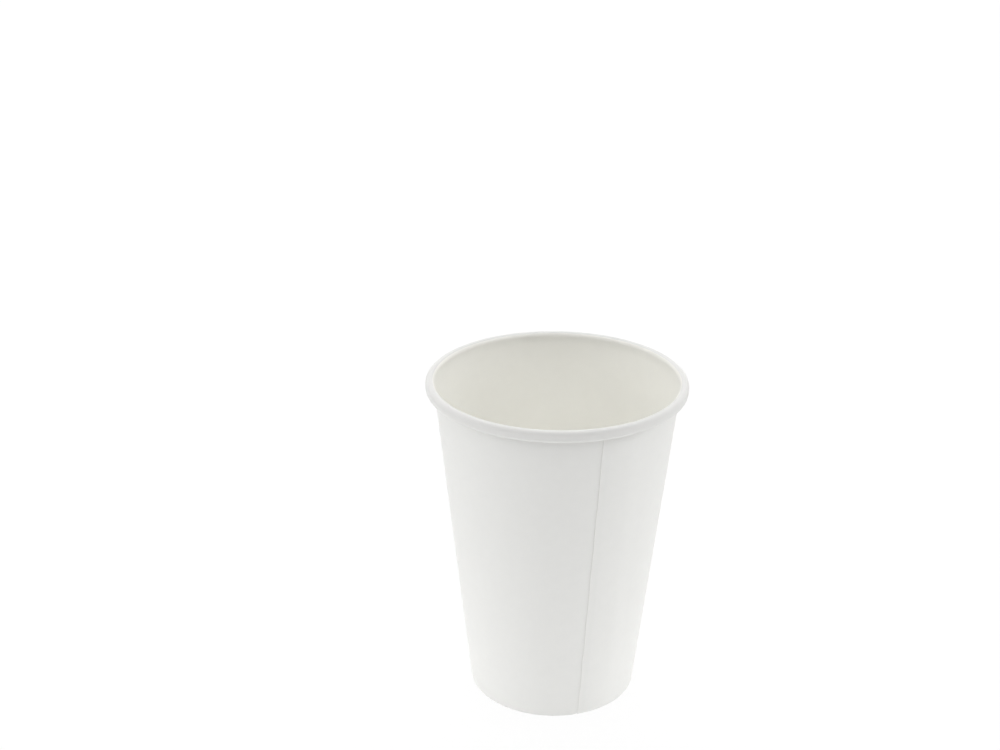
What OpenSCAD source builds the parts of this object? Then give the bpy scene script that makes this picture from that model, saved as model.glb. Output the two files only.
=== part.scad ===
// Drinking cup of coated paperboard, standing with its mouth up.
// Two blanks of board make it. The side wall is a fan-shaped blank, wrapped into a cone
// and lapped along one seam. Its top edge is rolled outwards into the rim, and its bottom
// edge is folded inwards into the foot. The bottom disc has a turned-down skirt, which
// the folded foot grips on both sides.
// The origin is the centre of the foot, on the table, and +Z is up.

/* [Cup] */
// Height from the table to the top of the rim
cup_h = 91.5; // [70:0.5:120]
// Outer diameter of the rolled rim
rim_d = 70.3; // [62:0.1:84]
// Outer diameter of the wall, carried down to the table
base_d = 46; // [38:0.5:54]

/* [Board] */
// Thickness of the side wall's board
wall_t = 0.3; // [0.2:0.01:0.38]
// Thickness of the bottom disc's board
disc_t = 0.28; // [0.2:0.01:0.4]

/* [Rim] */
// Width of the roll
roll_w = 2.45; // [2.15:0.05:3.2]
// Height of the straight stretch on the outside of the roll
roll_straight = 0.75; // [0.2:0.05:2]
// Gap between the wall and the roll, where the roll comes back to the wall
roll_gap = 0.1; // [0.05:0.01:0.2]
// Turn of the last stretch of the roll, from its underside to its cut edge
curl_turn = 170; // [100:5:200]

/* [Side seam] */
// Width of the lap, where one end of the wall lies on the other
lap_w = 7.7; // [5:0.1:11]
// Direction of the middle of the lap, turned from the front (-Y) towards +X
lap_az = 28.2; // [0:0.1:360]
// Width over which the outer end comes down to the wall beyond the inner end's edge
ramp_w = 6; // [2.5:0.1:8]

/* [Foot] */
// Height of the recess under the bottom disc
recess_h = 6; // [4:0.1:12]
// Depth to which the fold is pressed flat against the table
press = 0.06; // [0.02:0.01:0.1]
// Gap between the top edge of the hem and the bend of the disc
hem_gap = 0.3; // [0.1:0.05:1]

/* [Bottom disc] */
// Outer radius of the bend from the disc to its skirt
bend_r = 1; // [0.6:0.05:1.8]
// Gap between the bottom edge of the skirt and the middle of the fold
skirt_gap = 0.2; // [0.1:0.05:0.6]

/* [Drawing] */
// Number of steps round a full turn
$fn = 120; // [48:12:240]
// Angle of one step along a bend in the board, in degrees
bend_step = 12; // [6:1:20]

/* [Hidden] */

wall_color = [0.93, 0.93, 0.92];
disc_color = [0.9, 0.9, 0.86];

rim_r = rim_d / 2;
base_r = base_d / 2;
roll_r = roll_w / 2;

// Sections are drawn with x as the radius and y as the height. The roll bends about two
// centres, one above the other, with the straight stretch between them.
roll_top = [rim_r - roll_r, cup_h - roll_r];
roll_low = roll_top - [0, roll_straight];

// Lean of the wall from upright: its outer face starts at the table and runs up to touch
// the hollow side of the roll's top bend
foot_to_roll = roll_top - [base_r, 0];
lean = atan2(foot_to_roll.x, foot_to_roll.y)
    - asin((roll_r - wall_t) / norm(foot_to_roll));
slope = tan(lean);

// Along the wall, and across it towards the axis
up = [sin(lean), cos(lean)];
inward = [-cos(lean), sin(lean)];

// The last stretch of the roll is tighter, so that it clears the wall by roll_gap
curl_r = ((roll_low.x - base_r) * cos(lean) - (roll_low.y - roll_r) * sin(lean) - roll_gap)
    / (1 + sin(lean));
curl_c = roll_low + [0, curl_r - roll_r];

// The foot's fold turns about the middle of the skirt's board
fold_r = disc_t / 2;
fold_c = inside_wall(fold_r + wall_t - press, wall_t + fold_r);

// The bend of the disc touches the lining face of the wall
disc_top = recess_h + disc_t;
bend_c = inside_wall(disc_top - bend_r, wall_t + bend_r);

// Length over which the foot grips the skirt, along the wall
grip = (bend_c - fold_c) * up;

// Depth to which the two plies of the lap are pressed into each other
bond = wall_t / 5;
// The outer ply of the lap goes the longer way round the fold, so its edge ends lower
ply_drop = PI * wall_t;
// Inside the roll the outer ply curls on a little past the inner one, in degrees
ply_curl = 12;

// Beyond the lap, the outer end follows the wall's own cone, shifted sideways in
// proportion to the radius and tilted to match, so that its ramp is as wide all the way up
lap_half = lap_w / 2;
ramp_rate = wall_t / ramp_w;
mid_r = (base_r + rim_r) / 2;
ramp_shift = [ramp_rate * lap_half + ramp_rate * ramp_rate * mid_r / 2, -ramp_rate * base_r];
ramp_tilt = asin(ramp_rate * slope);

// Larger than the cup, for cuts
far = 2 * cup_h;

// The point at a height, at a depth inwards from the wall's outer face
function inside_wall(height, depth) = [base_r + height * slope - depth / cos(lean), height];

// Points along a bend, from one angle to another; a bend that goes on from another
// leaves out their common point
function bend(centre, r, from, to, goes_on = false) =
    let (steps = ceil(abs(to - from) / bend_step))
    [for (i = [goes_on ? 1 : 0 : steps])
        let (a = from + (to - from) * i / steps) centre + r * [cos(a), sin(a)]];

function reversed(points) = [for (i = [len(points) - 1 : -1 : 0]) points[i]];

// The wall's board at a depth from its lining face: round the fold to the upright wall
function foot_line(depth) = bend(fold_c, fold_r + depth, -180 - lean, -lean);

// and over the rim to the cut edge inside the roll
function roll_line(depth, turn) = concat(
    bend(roll_top, roll_r - depth, 180 - lean, 90),
    bend(roll_top, roll_r - depth, 90, 0, true),
    bend(roll_low, roll_r - depth, 0, -90),
    bend(curl_c, curl_r - depth, -90, -90 - turn, true));

// One face of the board, from the edge of the hem to the edge in the roll
function board_line(depth, drop, turn) = concat(
    [fold_c + (fold_r + depth) * inward + (grip - hem_gap - drop) * up],
    foot_line(depth),
    roll_line(depth, turn));

// Section of a layer of the wall's board between two depths, standing on the table
module board_section(near, away, drop = 0, turn = curl_turn) {
    difference() {
        polygon(concat(board_line(near, drop, turn), reversed(board_line(away, drop, turn))));
        translate([0, -far]) square([far, far]);
    }
}

// Section of a layer of the upright wall alone, from the fold to the roll
module upright_section(near, away) {
    function wall_line(depth) = concat(
        bend(fold_c, fold_r + depth, -90, -lean),
        [roll_top + (roll_r - depth) * inward]);
    difference() {
        polygon(concat(wall_line(near), reversed(wall_line(away))));
        translate([0, -far]) square([far, far]);
    }
}

// Places things so that x points out through the middle of the lap, with its right
// side, seen from outside, towards +y
module at_lap() {
    rotate([0, 0, lap_az - 90]) children();
}

// The solid inside the wall's outer face, thickened by a distance and shifted for the ramp
module ramp_cone(extra) {
    bottom_r = base_r + extra / cos(lean);
    translate([ramp_shift.x, ramp_shift.y, 0])
        rotate([ramp_tilt, 0, 0])
            translate([0, 0, -far])
                cylinder(h = 2 * far, r1 = bottom_r - far * slope, r2 = bottom_r + far * slope);
}

// The outer ply over the lap, round the fold and inside the roll
module lap_ply() {
    intersection() {
        rotate_extrude() board_section(wall_t - bond, 2 * wall_t, ply_drop, curl_turn + ply_curl);
        translate([0, -lap_half, -far]) cube([far, lap_w, 2 * far]);
    }
}

// The outer end of the wall beyond the lap, coming down to the wall
module lap_ramp() {
    intersection() {
        rotate_extrude() upright_section(wall_t - bond, 2 * wall_t);
        ramp_cone(wall_t);
        translate([0, 0, -far]) cube([far, far, 2 * far]);
    }
}

// The groove inside the cup, between the inner end's cut edge and the ramp; it closes
// where the disc and the roll press the lap tight
module lap_groove() {
    intersection() {
        ramp_cone(0);
        translate([0, lap_half, disc_top])
            cube([far, far, roll_top.y - roll_r - disc_top]);
    }
}

module side_wall() {
    color(wall_color)
        difference() {
            union() {
                rotate_extrude() board_section(0, wall_t);
                at_lap() lap_ply();
                at_lap() lap_ramp();
            }
            at_lap() lap_groove();
        }
}

module bottom_disc() {
    function disc_line(depth) = concat(
        [[0, disc_top - depth]],
        bend(bend_c, bend_r - depth, 90, -lean),
        [bend_c - (bend_r - depth) * inward - (grip - skirt_gap) * up]);
    color(disc_color)
        rotate_extrude() polygon(concat(disc_line(0), reversed(disc_line(disc_t))));
}

side_wall();
bottom_disc();
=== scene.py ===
"""A paper cup made from its two blanks of board, and the plain studio that it stands in.

The side wall is one sheet, rolled round from its inner end to its outer end, with the rim's
roll at its top and the folded foot at its bottom. The bottom disc is a second sheet, held
in the foot. All is in metres, with the centre of the foot at the origin and Z upwards.
"""

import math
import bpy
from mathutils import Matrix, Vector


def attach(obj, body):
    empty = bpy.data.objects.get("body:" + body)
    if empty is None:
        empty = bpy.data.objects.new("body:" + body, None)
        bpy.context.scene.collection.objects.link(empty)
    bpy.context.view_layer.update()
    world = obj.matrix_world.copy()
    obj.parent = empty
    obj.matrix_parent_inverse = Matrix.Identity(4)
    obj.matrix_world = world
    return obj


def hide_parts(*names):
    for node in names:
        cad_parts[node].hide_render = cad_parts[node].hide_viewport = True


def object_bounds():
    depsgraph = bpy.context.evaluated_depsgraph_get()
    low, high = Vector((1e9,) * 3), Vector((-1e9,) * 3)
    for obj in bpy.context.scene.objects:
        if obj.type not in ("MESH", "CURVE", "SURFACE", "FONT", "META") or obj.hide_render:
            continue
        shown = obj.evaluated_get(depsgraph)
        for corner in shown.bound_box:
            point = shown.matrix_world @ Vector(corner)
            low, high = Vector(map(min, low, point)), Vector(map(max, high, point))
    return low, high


bl_info = {
    "name": "Paper Cup",
    "version": (1, 0, 0),
    "blender": (4, 5, 0),
    "location": "3D View > Sidebar > Paper Cup",
    "description": "Makes a paper cup from two blanks of board, and a studio for it",
    "category": "Object",
}

from types import SimpleNamespace

import bmesh
import bpy
from bpy.props import FloatProperty, FloatVectorProperty, IntProperty, PointerProperty
from mathutils import Vector

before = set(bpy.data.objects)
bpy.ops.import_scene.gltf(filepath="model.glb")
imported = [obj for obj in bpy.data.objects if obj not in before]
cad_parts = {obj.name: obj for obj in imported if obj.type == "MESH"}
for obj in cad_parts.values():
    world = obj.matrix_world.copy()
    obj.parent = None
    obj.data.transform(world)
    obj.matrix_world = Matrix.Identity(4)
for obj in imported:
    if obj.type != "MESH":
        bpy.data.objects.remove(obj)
CAD_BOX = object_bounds()
MM = 0.001


def length(name, description, millimetres):
    """A length that a user can change."""
    return FloatProperty(
        name=name,
        description=description,
        default=millimetres * MM,
        min=0.0,
        precision=5,
        unit="LENGTH",
    )


def angle(name, description, degrees):
    """An angle that a user can change."""
    return FloatProperty(
        name=name, description=description, default=math.radians(degrees), subtype="ANGLE"
    )


def share(name, description, value):
    """A part of a whole, from 0 to 1."""
    return FloatProperty(
        name=name, description=description, default=value, min=0.0, max=1.0, subtype="FACTOR"
    )


def colour(name, description, rgb):
    """A colour that a user can change."""
    return FloatVectorProperty(
        name=name, description=description, default=rgb, size=3, min=0.0, max=1.0, subtype="COLOR"
    )


class CupSizes(bpy.types.PropertyGroup):
    height: length("Height", "From the table to the top of the rim", CAD_BOX[1].z / MM)
    rim_diameter: length(
        "Rim Diameter", "Outer diameter of the roll", (CAD_BOX[1].x - CAD_BOX[0].x) / MM
    )
    base_diameter: length(
        "Base Diameter", "Outer diameter of the wall, carried down to the table", 46
    )
    wall_board: length("Wall Board", "Thickness of the side wall's board", 0.3)
    disc_board: length("Disc Board", "Thickness of the bottom disc's board", 0.28)


class RimSizes(bpy.types.PropertyGroup):
    roll_width: length("Roll Width", "Width of the rim's roll", 2.45)
    roll_straight: length("Straight", "Straight stretch on the outside of the roll", 0.75)
    roll_gap: length("Gap", "Gap between the wall and the roll under the rim", 0.1)
    curl_turn: angle("Curl", "Turn from the roll's underside to its cut edge", 170)


class SeamSizes(bpy.types.PropertyGroup):
    lap_width: length("Lap Width", "Width over which the wall's two ends overlap", 7.7)
    lap_direction: angle("Direction", "Middle of the lap, turned from the front (-Y)", 28.2)
    ramp_width: length("Ramp", "Width over which the outer end comes down to the wall", 6)
    pressed: share("Pressed", "Thickness of the lap's plies in the roll and the fold", 0.4)


class FootSizes(bpy.types.PropertyGroup):
    recess_height: length("Recess", "Height of the recess under the bottom disc", 6)
    press: length("Press", "Depth to which the fold is pressed flat on the table", 0.06)
    hem_gap: length("Hem Gap", "Gap between the hem's edge and the bend of the disc", 0.3)
    flutes: IntProperty(
        name="Flutes", description="Ridges that the sealing wheel leaves in the hem", default=60
    )
    flute_height: length("Flute Height", "Height of a ridge in the hem", 0.08)
    bend_radius: length("Bend Radius", "Bend from the bottom disc to its skirt", 1)
    skirt_gap: length("Skirt Gap", "Gap between the skirt's edge and the fold's middle", 0.2)
    disc_sag: length("Disc Sag", "How far the middle of the bottom disc sags", 0.15)


class BoardColours(bpy.types.PropertyGroup):
    outside: colour("Outside", "Plain white board on the outside", (0.82, 0.82, 0.80))
    # The linings' warm cream is their own; that they are lighter than the outside is partly
    # painted light, for the light that comes into the cup
    lining: colour("Lining", "Lined side of the wall's board", (0.92, 0.912, 0.86))
    disc_lining: colour("Disc Lining", "Lined side of the disc's board", (0.92, 0.912, 0.865))
    # The rim's colour is the lining's, painted darker: painted shade on the roll
    rim: colour("Rim", "Lined side on the rim's roll, painted darker as shade", (0.76, 0.757, 0.74))
    # The cut edge's colour is partly the bare fibres' own and partly painted shade, darker for
    # the shadow at the seam's step
    cut_edge: colour("Cut Edge", "Bare fibres at the edge of the board, with painted shade for the seam", (0.80, 0.795, 0.77))
    light_through: share("Light Through", "How much light the lined board lets in and out", 0.3)
    light_reach: length("Light Reach", "How far light spreads inside the lined board", 0.8)


class StudioSettings(bpy.types.PropertyGroup):
    camera_place: FloatVectorProperty(
        name="Camera Place",
        description="Where the camera stands",
        default=(0.0, -0.40659, 0.26285),
        subtype="TRANSLATION",
    )
    camera_turn: FloatVectorProperty(
        name="Camera Turn",
        description="How the camera is turned",
        default=[math.radians(a) for a in (67.2152, -0.2121, 2.2348)],
        subtype="EULER",
    )
    lens: FloatProperty(
        name="Lens", description="Focal length of the camera", default=59.504, unit="CAMERA"
    )
    floor: colour("Floor", "Colour of the floor", (0.86, 0.86, 0.86))
    floor_white: share("Floor White", "How much of the floor's white needs no light", 0.88)
    floor_light: share("Floor Light", "Light that comes up through the floor", 0.38)
    floor_light_width: length("Floor Light Width", "Width of the lit round of the floor", 300)
    side_light: FloatProperty(
        name="Side Light", description="Strength of the low light from both sides", default=3.05
    )
    front_light: FloatProperty(
        name="Front Light", description="Strength of the high light from the front", default=1.75
    )
    back_light: FloatProperty(
        name="Back Light", description="Strength of the high light from behind", default=2.8
    )
    light_turn: angle("Light Turn", "Turn of the light, from the camera towards +X", 4)
    floor_radius: length("Floor Radius", "Radius of the round floor", 2500)


# Rows of the wall's section, from the hem's edge to the edge in the roll. The upright wall
# is drawn in stretches, each with its length in millimetres and its rows
HEM_ROWS = 9
FOLD_ROWS = 12
WALL_ROWS = ((2.4, 5), (80.6, 20))
SEAT_ROWS = 6
BEND_ROWS = 10
CURL_ROWS = 15

# Steps by which the wall is wound round. Its outer end, over the lap and down the ramp
# beside it, takes the fine ones
COARSE_STEP = math.radians(1.2)
FINE_STEP = math.radians(0.5)
INNER_END_STEPS = 10
ROUND_STEPS = 278
OUTER_END_STEPS = 74

# Rows and steps of the bottom disc
DISC_ROWS = 10
DISC_BEND_ROWS = 8
SKIRT_ROWS = 4
DISC_STEPS = 240

# Where the lap's plies are pressed thin: not yet at the first of each pair of distances, and
# fully at the second. They are measured below the roll, above the table, beside the lap,
# and in from the outer end's cut edge, which is pressed less
PRESSED_UNDER_ROLL = (1.2 * MM, 0.0)
PRESSED_OVER_TABLE = (1.6 * MM, 0.3 * MM)
PRESSED_BESIDE_LAP = (1.5 * MM, 0.5 * MM)
PRESSED_AT_EDGE = (2.2 * MM, 0.2 * MM)
EDGE_PRESSED = 0.6

# Where the hem's flutes fade in from the fold, and out to its edge and to the lap
FLUTES_FROM_FOLD = (0.3 * MM, 1.1 * MM)
FLUTES_TO_EDGE = 0.7 * MM
FLUTES_TO_LAP = 0.5 * MM

# The outer ply stands off the inner one by a little more than the board's thickness
PLY_STEP = 1.02
# The hem starts at this height, clear of the fold
HEM_START = 0.6 * MM
# Heights between which the wall is plain, for telling its outside from its inside
PLAIN_WALL = (10 * MM, 80 * MM)
# How far in from its top, and in under it, the roll takes the darker rim colour, which is painted
# shade, in its radius
ROLL_TOP_IN = 0.5
ROLL_UNDER_IN = 0.8

SMOOTH_ANGLE = math.radians(32)
TINY = 1e-6

# Turned-down edge of the floor, which has no other detail
FLOOR_SIDES = 96
FLOOR_EDGE = 0.1
FLOOR_DROP = 0.05
# Where the lit round of the floor starts to fade and ends, in its width
GLOW_FADE = (0.25, 0.75)

# Where the parts of the sky's light begin and are full: by height for the high light, and
# by how far forward for the light from the front and for all that isn't from behind
HIGH_LIGHT = (0.3, 0.8)
LIGHT_IN_FRONT = (-0.2, 0.5)
LIGHT_NOT_BEHIND = (-0.6, -0.1)

SENSOR_WIDTH = 36
NEAREST_SEEN = 0.01


def section_of(scene):
    """The measures of the section, with x as the radius and y as the height."""
    cup, rim, foot = scene.cup_sizes, scene.rim_sizes, scene.foot_sizes
    base_radius = cup.base_diameter / 2
    roll_radius = rim.roll_width / 2
    roll_top = Vector((cup.rim_diameter / 2 - roll_radius, cup.height - roll_radius))
    roll_low = roll_top - Vector((0, rim.roll_straight))
    foot_to_roll = roll_top - Vector((base_radius, 0))
    lean = math.atan2(foot_to_roll.x, foot_to_roll.y)
    lean -= math.asin((roll_radius - cup.wall_board) / foot_to_roll.length)
    sine, cosine = math.sin(lean), math.cos(lean)

    def inside_wall(height, depth):
        return Vector((base_radius + height * math.tan(lean) - depth / cosine, height))

    reach = (roll_low.x - base_radius) * cosine - (roll_low.y - roll_radius) * sine
    curl_radius = (reach - rim.roll_gap) / (1 + sine)
    fold_radius = cup.disc_board / 2
    fold_centre = inside_wall(
        fold_radius + cup.wall_board - foot.press, cup.wall_board + fold_radius
    )
    disc_top = foot.recess_height + cup.disc_board
    bend_centre = inside_wall(disc_top - foot.bend_radius, cup.wall_board + foot.bend_radius)
    up = Vector((sine, cosine))
    return SimpleNamespace(
        lean=lean,
        up=up,
        inward=Vector((-cosine, sine)),
        roll_radius=roll_radius,
        roll_top=roll_top,
        roll_low=roll_low,
        curl_radius=curl_radius,
        curl_centre=roll_low + Vector((0, curl_radius - roll_radius)),
        fold_radius=fold_radius,
        fold_centre=fold_centre,
        disc_top=disc_top,
        bend_centre=bend_centre,
        grip=(bend_centre - fold_centre).dot(up),
    )


def smooth(value, start, end):
    """0 at start and 1 at end, with a smooth rise or fall between them."""
    t = min(max((value - start) / (end - start), 0.0), 1.0)
    return t * t * (3 - 2 * t)


def begin_profile(name, point):
    """Starts a sheet's section in edit mode, with one vertex at its first point."""
    bpy.ops.object.select_all(action="DESELECT")
    bpy.ops.mesh.primitive_plane_add(size=MM)
    sheet = bpy.context.object
    sheet.name = sheet.data.name = name
    bpy.ops.object.mode_set(mode="EDIT")
    bpy.ops.mesh.select_mode(type="VERT")
    bpy.ops.mesh.select_all(action="SELECT")
    bpy.ops.mesh.merge(type="CENTER")
    bpy.ops.transform.translate(value=(point.x, 0, point.y))
    return sheet


def draw_along(step, rows):
    """Carries the section on in a straight line."""
    for _ in range(rows):
        bpy.ops.mesh.extrude_region_move(
            TRANSFORM_OT_translate={"value": (step.x / rows, 0, step.y / rows)}
        )


def bend_about(centre, turn, rows):
    """Carries the section on round a centre; a positive turn is from x towards height."""
    bpy.ops.mesh.spin(steps=rows, angle=turn, center=(centre.x, 0, centre.y), axis=(0, 1, 0))


def wind_round(steps, step):
    """Carries the selected column on round the cup's axis, clockwise from above."""
    bpy.ops.mesh.spin(steps=steps, angle=steps * step, center=(0, 0, 0), axis=(0, 0, 1))


def select_where(test):
    """Selects the shown vertices whose place passes a test, and what lies between them."""
    mesh = bmesh.from_edit_mesh(bpy.context.object.data)
    for vert in mesh.verts:
        vert.select = not vert.hide and test(vert.co)
    mesh.select_flush_mode()
    bmesh.update_edit_mesh(bpy.context.object.data)


def select_faces(test):
    """Selects the faces that pass a test, and nothing else."""
    bpy.ops.mesh.select_mode(type="FACE")
    bpy.ops.mesh.select_all(action="DESELECT")
    mesh = bmesh.from_edit_mesh(bpy.context.object.data)
    for face in mesh.faces:
        face.select = test(face)
    bmesh.update_edit_mesh(bpy.context.object.data)


def face_normals(towards):
    """Makes the sheet's faces agree, and face the way that towards() gives for their places."""
    bpy.ops.mesh.select_all(action="SELECT")
    bpy.ops.mesh.normals_make_consistent(inside=False)
    mesh = bmesh.from_edit_mesh(bpy.context.object.data)
    facing = sum(face.normal.dot(towards(face.calc_center_median())) for face in mesh.faces)
    if facing < 0:
        bpy.ops.mesh.flip_normals()


def apply_modifier(kind, **settings):
    """Adds a modifier to the active piece and applies it."""
    piece = bpy.context.object
    bpy.ops.object.modifier_add(type=kind)
    modifier = piece.modifiers[-1]
    for key, value in settings.items():
        setattr(modifier, key, value)
    bpy.ops.object.modifier_apply(modifier=modifier.name)


def weigh(piece, name, weight_of):
    """A vertex group whose weights depend on place, and on the ply."""
    group = piece.vertex_groups.new(name=name)
    for vert in piece.data.vertices:
        weight = weight_of(vert.co, not vert.hide)
        if weight > 0:
            group.add([vert.index], weight, "REPLACE")


def draw_wall_section(section, hem_length):
    """Draws the lining's side of the wall, from the edge of the hem to the edge in the roll."""
    start = section.fold_centre + section.fold_radius * section.inward
    sheet = begin_profile("wall_sheet", start + hem_length * section.up)
    draw_along(-hem_length * section.up, HEM_ROWS)
    bend_about(section.fold_centre, math.pi, FOLD_ROWS)
    foot = section.fold_centre - section.fold_radius * section.inward
    wall_length = (section.roll_top + section.roll_radius * section.inward - foot).length
    for stretch, rows in WALL_ROWS:
        draw_along(stretch * MM * section.up, rows)
        wall_length -= stretch * MM
    draw_along(wall_length * section.up, SEAT_ROWS)
    quarter = math.pi / 2
    bend_about(section.roll_top, section.lean - quarter, BEND_ROWS)
    bend_about(section.roll_top, -quarter, BEND_ROWS)
    draw_along(section.roll_low - section.roll_top, 1)
    bend_about(section.roll_low, -quarter, BEND_ROWS)
    bend_about(section.curl_centre, -bpy.context.scene.rim_sizes.curl_turn, CURL_ROWS)
    return sheet


def wind_wall(lap_half):
    """Winds the section round into the wall, and leaves only its outer end shown."""
    bpy.ops.mesh.select_all(action="SELECT")
    wind_round(INNER_END_STEPS, -COARSE_STEP)
    bpy.ops.mesh.select_all(action="SELECT")
    bpy.ops.mesh.bisect(plane_co=(0, lap_half, 0), plane_no=(0, 1, 0), clear_outer=True)
    select_where(lambda co: abs(co.y) < TINY and co.x > 0)
    wind_round(ROUND_STEPS, COARSE_STEP)
    bpy.ops.mesh.select_all(action="INVERT")
    bpy.ops.mesh.hide(unselected=False)
    bpy.ops.mesh.select_all(action="SELECT")
    wind_round(OUTER_END_STEPS, FINE_STEP)
    bpy.ops.mesh.select_all(action="SELECT")
    bpy.ops.mesh.bisect(plane_co=(0, -lap_half, 0), plane_no=(0, 1, 0), clear_inner=True)


def trim_hem(hem_edge, drop, lap_half, ramp_width):
    """Trims the outer ply's hem, which goes the longer way round the fold.

    Over the lap it ends lower, and beside it the edge slopes up to its full height.
    """
    column = 0.2 * MM

    def on_hem(co):
        return co.z > HEM_START and co.xy.length < hem_edge.x + TINY

    select_where(lambda co: on_hem(co) and co.y < lap_half + column)
    low = hem_edge.y - drop
    bpy.ops.mesh.bisect(plane_co=(0, 0, low), plane_no=(0, 0, 1), clear_outer=True)
    select_where(lambda co: on_hem(co) and co.y > lap_half - column)
    across = Vector((0, -drop, ramp_width)).normalized()
    bpy.ops.mesh.bisect(
        plane_co=(0, lap_half, low), plane_no=across, clear_outer=True, threshold=TINY
    )


class CUP_OT_side_wall(bpy.types.Operator):
    """Rolls the side wall from one sheet, with its rim, its lap and its folded foot"""

    bl_idname = "cup.side_wall"
    bl_label = "Side Wall"
    bl_options = {"REGISTER", "UNDO"}

    def execute(self, context):
        scene = context.scene
        section = section_of(scene)
        seam, foot, board = scene.seam_sizes, scene.foot_sizes, scene.cup_sizes.wall_board
        lap_half = seam.lap_width / 2
        hem_length = section.grip - foot.hem_gap
        roll_foot = section.roll_low.y - section.roll_radius

        sheet = draw_wall_section(section, hem_length)
        wind_wall(lap_half)
        hem_edge = section.fold_centre + section.fold_radius * section.inward
        hem_edge += hem_length * section.up
        trim_hem(hem_edge, math.pi * board, lap_half, seam.ramp_width)

        def in_bend(co):
            """1 in the roll and in the fold, where the plies are pressed thin."""
            under_roll = smooth(roll_foot - co.z, *PRESSED_UNDER_ROLL)
            return max(under_roll, smooth(co.z, *PRESSED_OVER_TABLE))

        def down_ramp(co):
            """1 over the lap, and falling to 0 where the outer end comes down beside it."""
            return smooth(co.y, lap_half + seam.ramp_width, lap_half)

        def pressed_at(co, outer_end):
            """How far a ply is pressed thin, which the outer end also is near its cut edge."""
            if co.x < 0:
                return 0.0
            if not outer_end:
                beside = smooth(abs(co.y) - lap_half, *PRESSED_BESIDE_LAP)
                return in_bend(co) * beside
            at_edge = EDGE_PRESSED * smooth(co.y + lap_half, *PRESSED_AT_EDGE)
            return max(in_bend(co) * down_ramp(co), at_edge)

        def over_lap(co, outer_end):
            """How far the outer ply stands off the inner one."""
            if not outer_end:
                return 0.0
            return down_ramp(co) * (1 - (1 - seam.pressed) * in_bend(co))

        def fluted(co, outer_end):
            """Ridges along the hem, which fade out at its edge and at the fold."""
            from_fold = Vector((co.xy.length, co.z)) - section.fold_centre
            along = from_fold.dot(section.up)
            if from_fold.dot(section.inward) < 0 or not 0 < along < hem_length + board:
                return 0.0
            band = smooth(along, *FLUTES_FROM_FOLD)
            band *= smooth(along, hem_length, hem_length - FLUTES_TO_EDGE)
            if not outer_end and co.x > 0:
                band *= smooth(co.y, -lap_half, -lap_half - FLUTES_TO_LAP)
            return band * (0.5 + 0.5 * math.cos(foot.flutes * math.atan2(co.y, co.x)))

        def from_axis(centre):
            """Outwards from the axis, at heights where the wall is plain."""
            low, high = PLAIN_WALL
            return Vector((*centre.xy, 0)) if low < centre.z < high else Vector()

        bpy.ops.object.mode_set(mode="OBJECT")
        weigh(sheet, "over lap", over_lap)
        weigh(sheet, "pressed", pressed_at)
        weigh(sheet, "flutes", fluted)
        bpy.ops.object.mode_set(mode="EDIT")
        bpy.ops.mesh.reveal()
        face_normals(from_axis)
        bpy.ops.object.mode_set(mode="OBJECT")
        apply_modifier(
            "DISPLACE", strength=board * PLY_STEP, mid_level=0, vertex_group="over lap"
        )
        apply_modifier("DISPLACE", strength=foot.flute_height, mid_level=0, vertex_group="flutes")
        for material in ("outside", "lining", "cut edge", "rim"):
            sheet.data.materials.append(bpy.data.materials["wall " + material])
        apply_modifier(
            "SOLIDIFY",
            thickness=board,
            offset=1,
            use_even_offset=True,
            vertex_group="pressed",
            invert_vertex_group=True,
            thickness_vertex_group=seam.pressed,
            material_offset=1,
            material_offset_rim=2,
        )
        bpy.ops.object.mode_set(mode="EDIT")
        select_where(lambda co: co.z < 0)
        bpy.ops.transform.resize(value=(1, 1, 0), center_override=(0, 0, 0))

        def on_roll(centre):
            """The rolled face of the rim, from just inside its top to under the roll."""
            place = Vector((centre.xy.length, centre.z))
            from_bend = place - section.roll_top
            if from_bend.y > 0:
                return from_bend.x > -ROLL_TOP_IN * from_bend.length
            return place.y > roll_foot and from_bend.x > -ROLL_UNDER_IN * section.roll_radius

        # The lined faces on the roll take the rim's colour, which is painted shade
        select_faces(lambda face: face.material_index == 1 and on_roll(face.calc_center_median()))
        sheet.active_material_index = 3
        bpy.ops.object.material_slot_assign()
        bpy.ops.object.mode_set(mode="OBJECT")
        sheet.vertex_groups.clear()
        bpy.ops.object.shade_smooth_by_angle(angle=SMOOTH_ANGLE)
        sheet.rotation_euler.z = seam.lap_direction - math.pi / 2
        bpy.ops.object.transform_apply(location=False, rotation=True, scale=False)

        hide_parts("side_wall")
        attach(sheet, "root")
        return {"FINISHED"}


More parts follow.
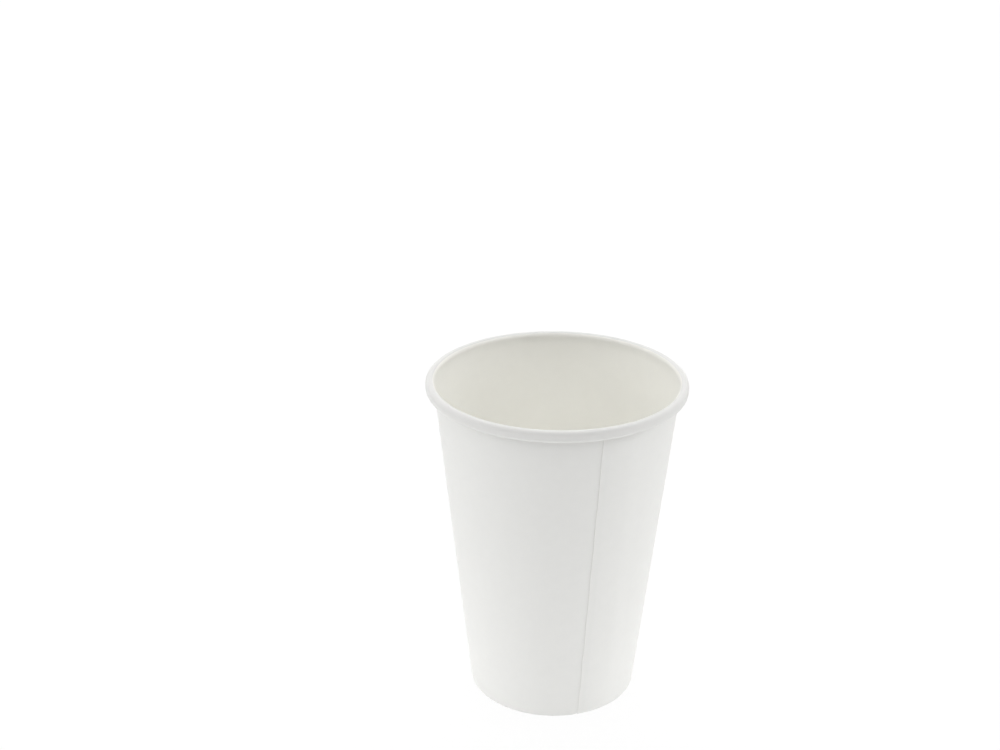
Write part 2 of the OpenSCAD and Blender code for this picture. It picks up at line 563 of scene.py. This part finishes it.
class CUP_OT_bottom_disc(bpy.types.Operator):
    """Presses the bottom disc, with the skirt that the foot holds"""

    bl_idname = "cup.bottom_disc"
    bl_label = "Bottom Disc"
    bl_options = {"REGISTER", "UNDO"}

    def execute(self, context):
        scene = context.scene
        section = section_of(scene)
        foot = scene.foot_sizes
        flat, sag = section.bend_centre.x, foot.disc_sag
        dish_radius = (flat * flat + sag * sag) / (2 * sag)
        middle = Vector((0, section.disc_top - sag))
        sheet = begin_profile("disc_sheet", middle)
        dish_centre = middle + Vector((0, dish_radius))
        bend_about(dish_centre, math.asin(flat / dish_radius), DISC_ROWS)
        bend_about(section.bend_centre, -(math.pi / 2 + section.lean), DISC_BEND_ROWS)
        draw_along(-(section.grip - foot.skirt_gap) * section.up, SKIRT_ROWS)
        bpy.ops.mesh.select_all(action="SELECT")
        wind_round(DISC_STEPS, math.tau / DISC_STEPS)
        bpy.ops.mesh.select_all(action="SELECT")
        bpy.ops.mesh.remove_doubles(threshold=TINY)
        face_normals(lambda centre: Vector((centre.x, centre.y, flat)))
        bpy.ops.object.mode_set(mode="OBJECT")
        for material in ("lining", "underside", "cut edge"):
            sheet.data.materials.append(bpy.data.materials["disc " + material])
        apply_modifier(
            "SOLIDIFY",
            thickness=scene.cup_sizes.disc_board,
            offset=-1,
            use_even_offset=True,
            material_offset=1,
            material_offset_rim=2,
        )
        bpy.ops.object.shade_smooth_by_angle(angle=SMOOTH_ANGLE)

        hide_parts("bottom_disc")
        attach(sheet, "root")
        return {"FINISHED"}


def new_group(name, inputs, outputs):
    """A shader node group with named inputs and outputs."""
    group = bpy.data.node_groups.new(name, "ShaderNodeTree")
    for label, kind, default in inputs:
        socket = group.interface.new_socket(name=label, in_out="INPUT", socket_type=kind)
        if default is not None:
            socket.default_value = default
    for label, kind in outputs:
        group.interface.new_socket(name=label, in_out="OUTPUT", socket_type=kind)
    return group, group.nodes.new("NodeGroupInput"), group.nodes.new("NodeGroupOutput")


def math_node(tree, operation, *values):
    """A Math node whose inputs are sockets or numbers."""
    node = tree.nodes.new("ShaderNodeMath")
    node.operation = operation
    feed(tree, node, *values)
    return node.outputs[0]


def feed(tree, node, *values):
    """Links or sets a node's inputs in order."""
    for socket, value in zip(node.inputs, values):
        if isinstance(value, bpy.types.NodeSocket):
            tree.links.new(value, socket)
        else:
            socket.default_value = value


def noise_node(tree, vector, scale, detail, roughness, distortion=0.0):
    """A Noise Texture's value, at a place and a scale that come from sockets."""
    node = tree.nodes.new("ShaderNodeTexNoise")
    tree.links.new(vector, node.inputs["Vector"])
    tree.links.new(scale, node.inputs["Scale"])
    node.inputs["Detail"].default_value = detail
    node.inputs["Roughness"].default_value = roughness
    node.inputs["Distortion"].default_value = distortion
    return node.outputs["Fac"]


def make_fibre_group():
    """Paper fibres: soft clouds in the sheet and fine matted fibres on its face."""
    group, given, made = new_group(
        "Paper Fibres",
        [
            ("Vector", "NodeSocketVector", None),
            ("Colour", "NodeSocketColor", (0.84, 0.84, 0.82, 1.0)),
            ("Roughness", "NodeSocketFloat", 0.7),
            ("Cloud Size", "NodeSocketFloat", 0.003),
            ("Cloud Strength", "NodeSocketFloat", 0.03),
            ("Fibre Size", "NodeSocketFloat", 0.0003),
            ("Fibre Strength", "NodeSocketFloat", 0.05),
        ],
        [
            ("Colour", "NodeSocketColor"),
            ("Roughness", "NodeSocketFloat"),
            ("Height", "NodeSocketFloat"),
        ],
    )
    cloud_scale = math_node(group, "DIVIDE", 1.0, given.outputs["Cloud Size"])
    fibre_scale = math_node(group, "DIVIDE", 1.0, given.outputs["Fibre Size"])
    clouds = noise_node(group, given.outputs["Vector"], cloud_scale, 3, 0.55)
    fibres = noise_node(group, given.outputs["Vector"], fibre_scale, 5, 0.6, 1.6)

    def swing(noise, strength):
        """How far a noise lies from its middle, times its strength."""
        from_middle = math_node(group, "SUBTRACT", noise, 0.5)
        return math_node(group, "MULTIPLY", from_middle, given.outputs[strength])

    change = math_node(
        group, "ADD", swing(clouds, "Cloud Strength"), swing(fibres, "Fibre Strength")
    )
    tone = group.nodes.new("ShaderNodeVectorMath")
    tone.operation = "SCALE"
    group.links.new(given.outputs["Colour"], tone.inputs[0])
    group.links.new(math_node(group, "ADD", 1.0, change), tone.inputs["Scale"])
    group.links.new(tone.outputs[0], made.inputs["Colour"])
    rough = math_node(group, "SUBTRACT", given.outputs["Roughness"], change)
    group.links.new(rough, made.inputs["Roughness"])
    height = math_node(
        group,
        "ADD",
        math_node(group, "MULTIPLY", clouds, 0.6),
        math_node(group, "MULTIPLY", fibres, 0.4),
    )
    group.links.new(height, made.inputs["Height"])
    return group


def board_material(name, rgb, roughness, specular, cloud, fibre, bump, light=(0.0, 0.0)):
    """A material of board whose face shows its fibres, and which may let light through.

    The clouds and the fibres each have a size and a strength, and the light has a share
    and a reach.
    """
    material = bpy.data.materials.new(name)
    material.use_nodes = True
    tree = material.node_tree
    shader = tree.nodes["Principled BSDF"]
    shader.inputs["Specular IOR Level"].default_value = specular
    shader.inputs["Subsurface Weight"].default_value = light[0]
    shader.inputs["Subsurface Scale"].default_value = light[1]
    shader.inputs["Subsurface Radius"].default_value = (1.0, 1.0, 1.0)
    place = tree.nodes.new("ShaderNodeTexCoord")
    fibres = tree.nodes.new("ShaderNodeGroup")
    fibres.node_tree = bpy.data.node_groups["Paper Fibres"]
    fibres.inputs["Colour"].default_value = (*rgb, 1.0)
    fibres.inputs["Roughness"].default_value = roughness
    for kind, (size, strength) in {"Cloud": cloud, "Fibre": fibre}.items():
        fibres.inputs[kind + " Size"].default_value = size
        fibres.inputs[kind + " Strength"].default_value = strength
    relief = tree.nodes.new("ShaderNodeBump")
    relief.inputs["Strength"].default_value = 0.5
    relief.inputs["Distance"].default_value = bump
    tree.links.new(place.outputs["Object"], fibres.inputs["Vector"])
    tree.links.new(fibres.outputs["Height"], relief.inputs["Height"])
    tree.links.new(relief.outputs["Normal"], shader.inputs["Normal"])
    tree.links.new(fibres.outputs["Colour"], shader.inputs["Base Color"])
    tree.links.new(fibres.outputs["Roughness"], shader.inputs["Roughness"])
    return material


class CUP_OT_finishes(bpy.types.Operator):
    """Makes the board's finishes: outside, lining and cut edges"""

    bl_idname = "cup.finishes"
    bl_label = "Finishes"
    bl_options = {"REGISTER", "UNDO"}

    def execute(self, context):
        colours = context.scene.board_colours
        make_fibre_group()
        light = (colours.light_through, colours.light_reach)
        plain = dict(cloud=(2.6 * MM, 0.03), fibre=(0.28 * MM, 0.05), bump=0.02 * MM)
        lined = dict(cloud=(3.4 * MM, 0.035), fibre=(0.5 * MM, 0.02), bump=0.012 * MM)
        torn = dict(cloud=(0.6 * MM, 0.08), fibre=(0.12 * MM, 0.16), bump=0.03 * MM)
        board_material("wall outside", colours.outside, 0.72, 0.35, **plain)
        # The lining is lighter than the outside partly as painted light inside the cup
        board_material("wall lining", colours.lining, 0.42, 0.5, **lined, light=light)
        # The rim is the lining painted darker, as painted shade on the roll
        board_material("wall rim", colours.rim, 0.42, 0.5, **lined)
        # The cut edges are partly the fibres' own tone and partly painted shade along the seam
        board_material("wall cut edge", colours.cut_edge, 0.9, 0.3, **torn)
        # The disc's lining is lighter in the same way, partly as painted light
        board_material("disc lining", colours.disc_lining, 0.42, 0.5, **lined, light=light)
        board_material("disc underside", colours.outside, 0.74, 0.35, **plain)
        board_material("disc cut edge", colours.cut_edge, 0.9, 0.3, **torn)
        return {"FINISHED"}


def make_floor(studio):
    """A round floor with a softly turned-down edge, white to the camera."""
    bpy.ops.object.select_all(action="DESELECT")
    bpy.ops.mesh.primitive_circle_add(
        vertices=FLOOR_SIDES, radius=studio.floor_radius, fill_type="NGON"
    )
    floor = bpy.context.object
    floor.name = floor.data.name = "floor"
    bpy.ops.object.mode_set(mode="EDIT")
    bpy.ops.mesh.select_all(action="SELECT")
    bpy.ops.mesh.inset(thickness=FLOOR_EDGE)
    select_where(lambda co: co.xy.length > studio.floor_radius - FLOOR_EDGE / 2)
    bpy.ops.mesh.extrude_region_move(TRANSFORM_OT_translate={"value": (0, 0, -FLOOR_DROP)})
    bpy.ops.object.mode_set(mode="OBJECT")
    return floor


def floor_material(studio):
    """Plain pale floor, which shows white to the camera and keeps the object's shadow."""
    material = bpy.data.materials.new("floor paper")
    material.use_nodes = True
    tree = material.node_tree
    shader = tree.nodes["Principled BSDF"]
    shader.inputs["Base Color"].default_value = (*studio.floor, 1.0)
    shader.inputs["Roughness"].default_value = 0.9
    shader.inputs["Specular IOR Level"].default_value = 0.1
    shader.inputs["Emission Color"].default_value = (1.0, 1.0, 1.0, 1.0)
    place = tree.nodes.new("ShaderNodeTexCoord")
    from_middle = tree.nodes.new("ShaderNodeVectorMath")
    from_middle.operation = "LENGTH"
    tree.links.new(place.outputs["Object"], from_middle.inputs[0])
    fade = [part * studio.floor_light_width for part in GLOW_FADE]
    dark = rise(tree, from_middle.outputs["Value"], *fade)
    lit = math_node(tree, "SUBTRACT", 1.0, dark)
    glow = math_node(tree, "MULTIPLY", lit, studio.floor_light)
    tree.links.new(glow, shader.inputs["Emission Strength"])
    output = tree.nodes["Material Output"]
    pale = tree.nodes.new("ShaderNodeBsdfDiffuse")
    pale.inputs["Color"].default_value = (1.0, 1.0, 1.0, 1.0)
    white = tree.nodes.new("ShaderNodeEmission")
    white.inputs["Color"].default_value = (1.0, 1.0, 1.0, 1.0)
    white.inputs["Strength"].default_value = 1.0
    shaded = tree.nodes.new("ShaderNodeMixShader")
    shaded.inputs["Fac"].default_value = studio.floor_white
    kind = tree.nodes.new("ShaderNodeMixShader")
    tree.links.new(pale.outputs[0], shaded.inputs[1])
    tree.links.new(white.outputs[0], shaded.inputs[2])
    tree.links.new(seen_ray(tree), kind.inputs["Fac"])
    tree.links.new(shader.outputs[0], kind.inputs[1])
    tree.links.new(shaded.outputs[0], kind.inputs[2])
    tree.links.new(kind.outputs[0], output.inputs["Surface"])
    return material


def seen_ray(tree):
    """1 for what the camera sees, straight or in a reflection, and 0 for light."""
    rays = tree.nodes.new("ShaderNodeLightPath")
    straight, mirrored, through = (
        rays.outputs[name] for name in ("Is Camera Ray", "Is Glossy Ray", "Is Transmission Ray")
    )
    return math_node(tree, "MAXIMUM", math_node(tree, "MAXIMUM", straight, mirrored), through)


def rise(tree, value, start, end):
    """0 below start and 1 above end, with a smooth rise between them."""
    node = tree.nodes.new("ShaderNodeMapRange")
    node.interpolation_type = "SMOOTHSTEP"
    feed(tree, node, value, start, end, 0.0, 1.0)
    return node.outputs[0]


def make_world(scene):
    """Soft light: low from both sides, and high from the front and from behind."""
    studio = scene.studio_settings
    world = bpy.data.worlds.new("studio light")
    world.use_nodes = True
    scene.world = world
    tree = world.node_tree
    background = tree.nodes["Background"]
    background.inputs["Color"].default_value = (1.0, 1.0, 1.0, 1.0)
    place = tree.nodes.new("ShaderNodeTexCoord")
    turned = tree.nodes.new("ShaderNodeMapping")
    turned.vector_type = "TEXTURE"
    turned.inputs["Rotation"].default_value = (0.0, 0.0, studio.light_turn)
    parts = tree.nodes.new("ShaderNodeSeparateXYZ")
    tree.links.new(place.outputs["Generated"], turned.inputs["Vector"])
    tree.links.new(turned.outputs["Vector"], parts.inputs[0])
    forward = math_node(tree, "MULTIPLY", parts.outputs["Y"], -1.0)
    high = rise(tree, parts.outputs["Z"], *HIGH_LIGHT)
    low = math_node(tree, "SUBTRACT", 1.0, high)
    front = rise(tree, forward, *LIGHT_IN_FRONT)
    not_back = rise(tree, forward, *LIGHT_NOT_BEHIND)
    back = math_node(tree, "SUBTRACT", 1.0, not_back)
    side = math_node(tree, "SUBTRACT", not_back, front)
    low_light = math_node(tree, "MULTIPLY", side, studio.side_light)
    high_light = math_node(
        tree,
        "ADD",
        math_node(tree, "MULTIPLY", front, studio.front_light),
        math_node(tree, "MULTIPLY", back, studio.back_light),
    )
    light = math_node(
        tree,
        "ADD",
        math_node(tree, "MULTIPLY", low, low_light),
        math_node(tree, "MULTIPLY", high, high_light),
    )
    strength = tree.nodes.new("ShaderNodeMix")
    feed(tree, strength, seen_ray(tree))
    tree.links.new(light, strength.inputs["A"])
    strength.inputs["B"].default_value = 1.0
    tree.links.new(strength.outputs["Result"], background.inputs["Strength"])


class CUP_OT_studio(bpy.types.Operator):
    """Sets up the floor, the soft light and the camera"""

    bl_idname = "cup.studio"
    bl_label = "Studio"
    bl_options = {"REGISTER", "UNDO"}

    def execute(self, context):
        scene = context.scene
        studio = scene.studio_settings
        floor = make_floor(studio)
        floor.data.materials.append(floor_material(studio))
        make_world(scene)
        bpy.ops.object.camera_add(location=studio.camera_place, rotation=studio.camera_turn)
        camera = context.object
        camera.name = camera.data.name = "camera"
        camera.data.sensor_width = SENSOR_WIDTH
        camera.data.lens = studio.lens
        camera.data.clip_start = NEAREST_SEEN
        scene.camera = camera
        scene.view_settings.view_transform = "Standard"
        return {"FINISHED"}


OPERATORS = (CUP_OT_finishes, CUP_OT_side_wall, CUP_OT_bottom_disc, CUP_OT_studio)
SETTINGS = {
    "cup_sizes": CupSizes,
    "rim_sizes": RimSizes,
    "seam_sizes": SeamSizes,
    "foot_sizes": FootSizes,
    "board_colours": BoardColours,
    "studio_settings": StudioSettings,
}


class CUP_PT_panel(bpy.types.Panel):
    """The paper cup's sizes, colours and steps"""

    bl_idname = "CUP_PT_panel"
    bl_label = "Paper Cup"
    bl_space_type = "VIEW_3D"
    bl_region_type = "UI"
    bl_category = "Paper Cup"

    def draw(self, context):
        for operator in OPERATORS:
            self.layout.operator(operator.bl_idname)
        for key, group in SETTINGS.items():
            box = self.layout.box()
            for name in group.__annotations__:
                box.prop(getattr(context.scene, key), name)


def register():
    for group in SETTINGS.values():
        bpy.utils.register_class(group)
    for key, group in SETTINGS.items():
        setattr(bpy.types.Scene, key, PointerProperty(type=group))
    for cls in (*OPERATORS, CUP_PT_panel):
        bpy.utils.register_class(cls)


def unregister():
    for cls in reversed((*OPERATORS, CUP_PT_panel)):
        bpy.utils.unregister_class(cls)
    for key, group in SETTINGS.items():
        delattr(bpy.types.Scene, key)
        bpy.utils.unregister_class(group)


def main():
    register()
    for name in ("finishes", "side_wall", "bottom_disc", "studio"):
        result = getattr(bpy.ops.cup, name)()
        if result != {"FINISHED"}:
            raise RuntimeError(name + " did not finish")


if __name__ == "__main__":
    main()
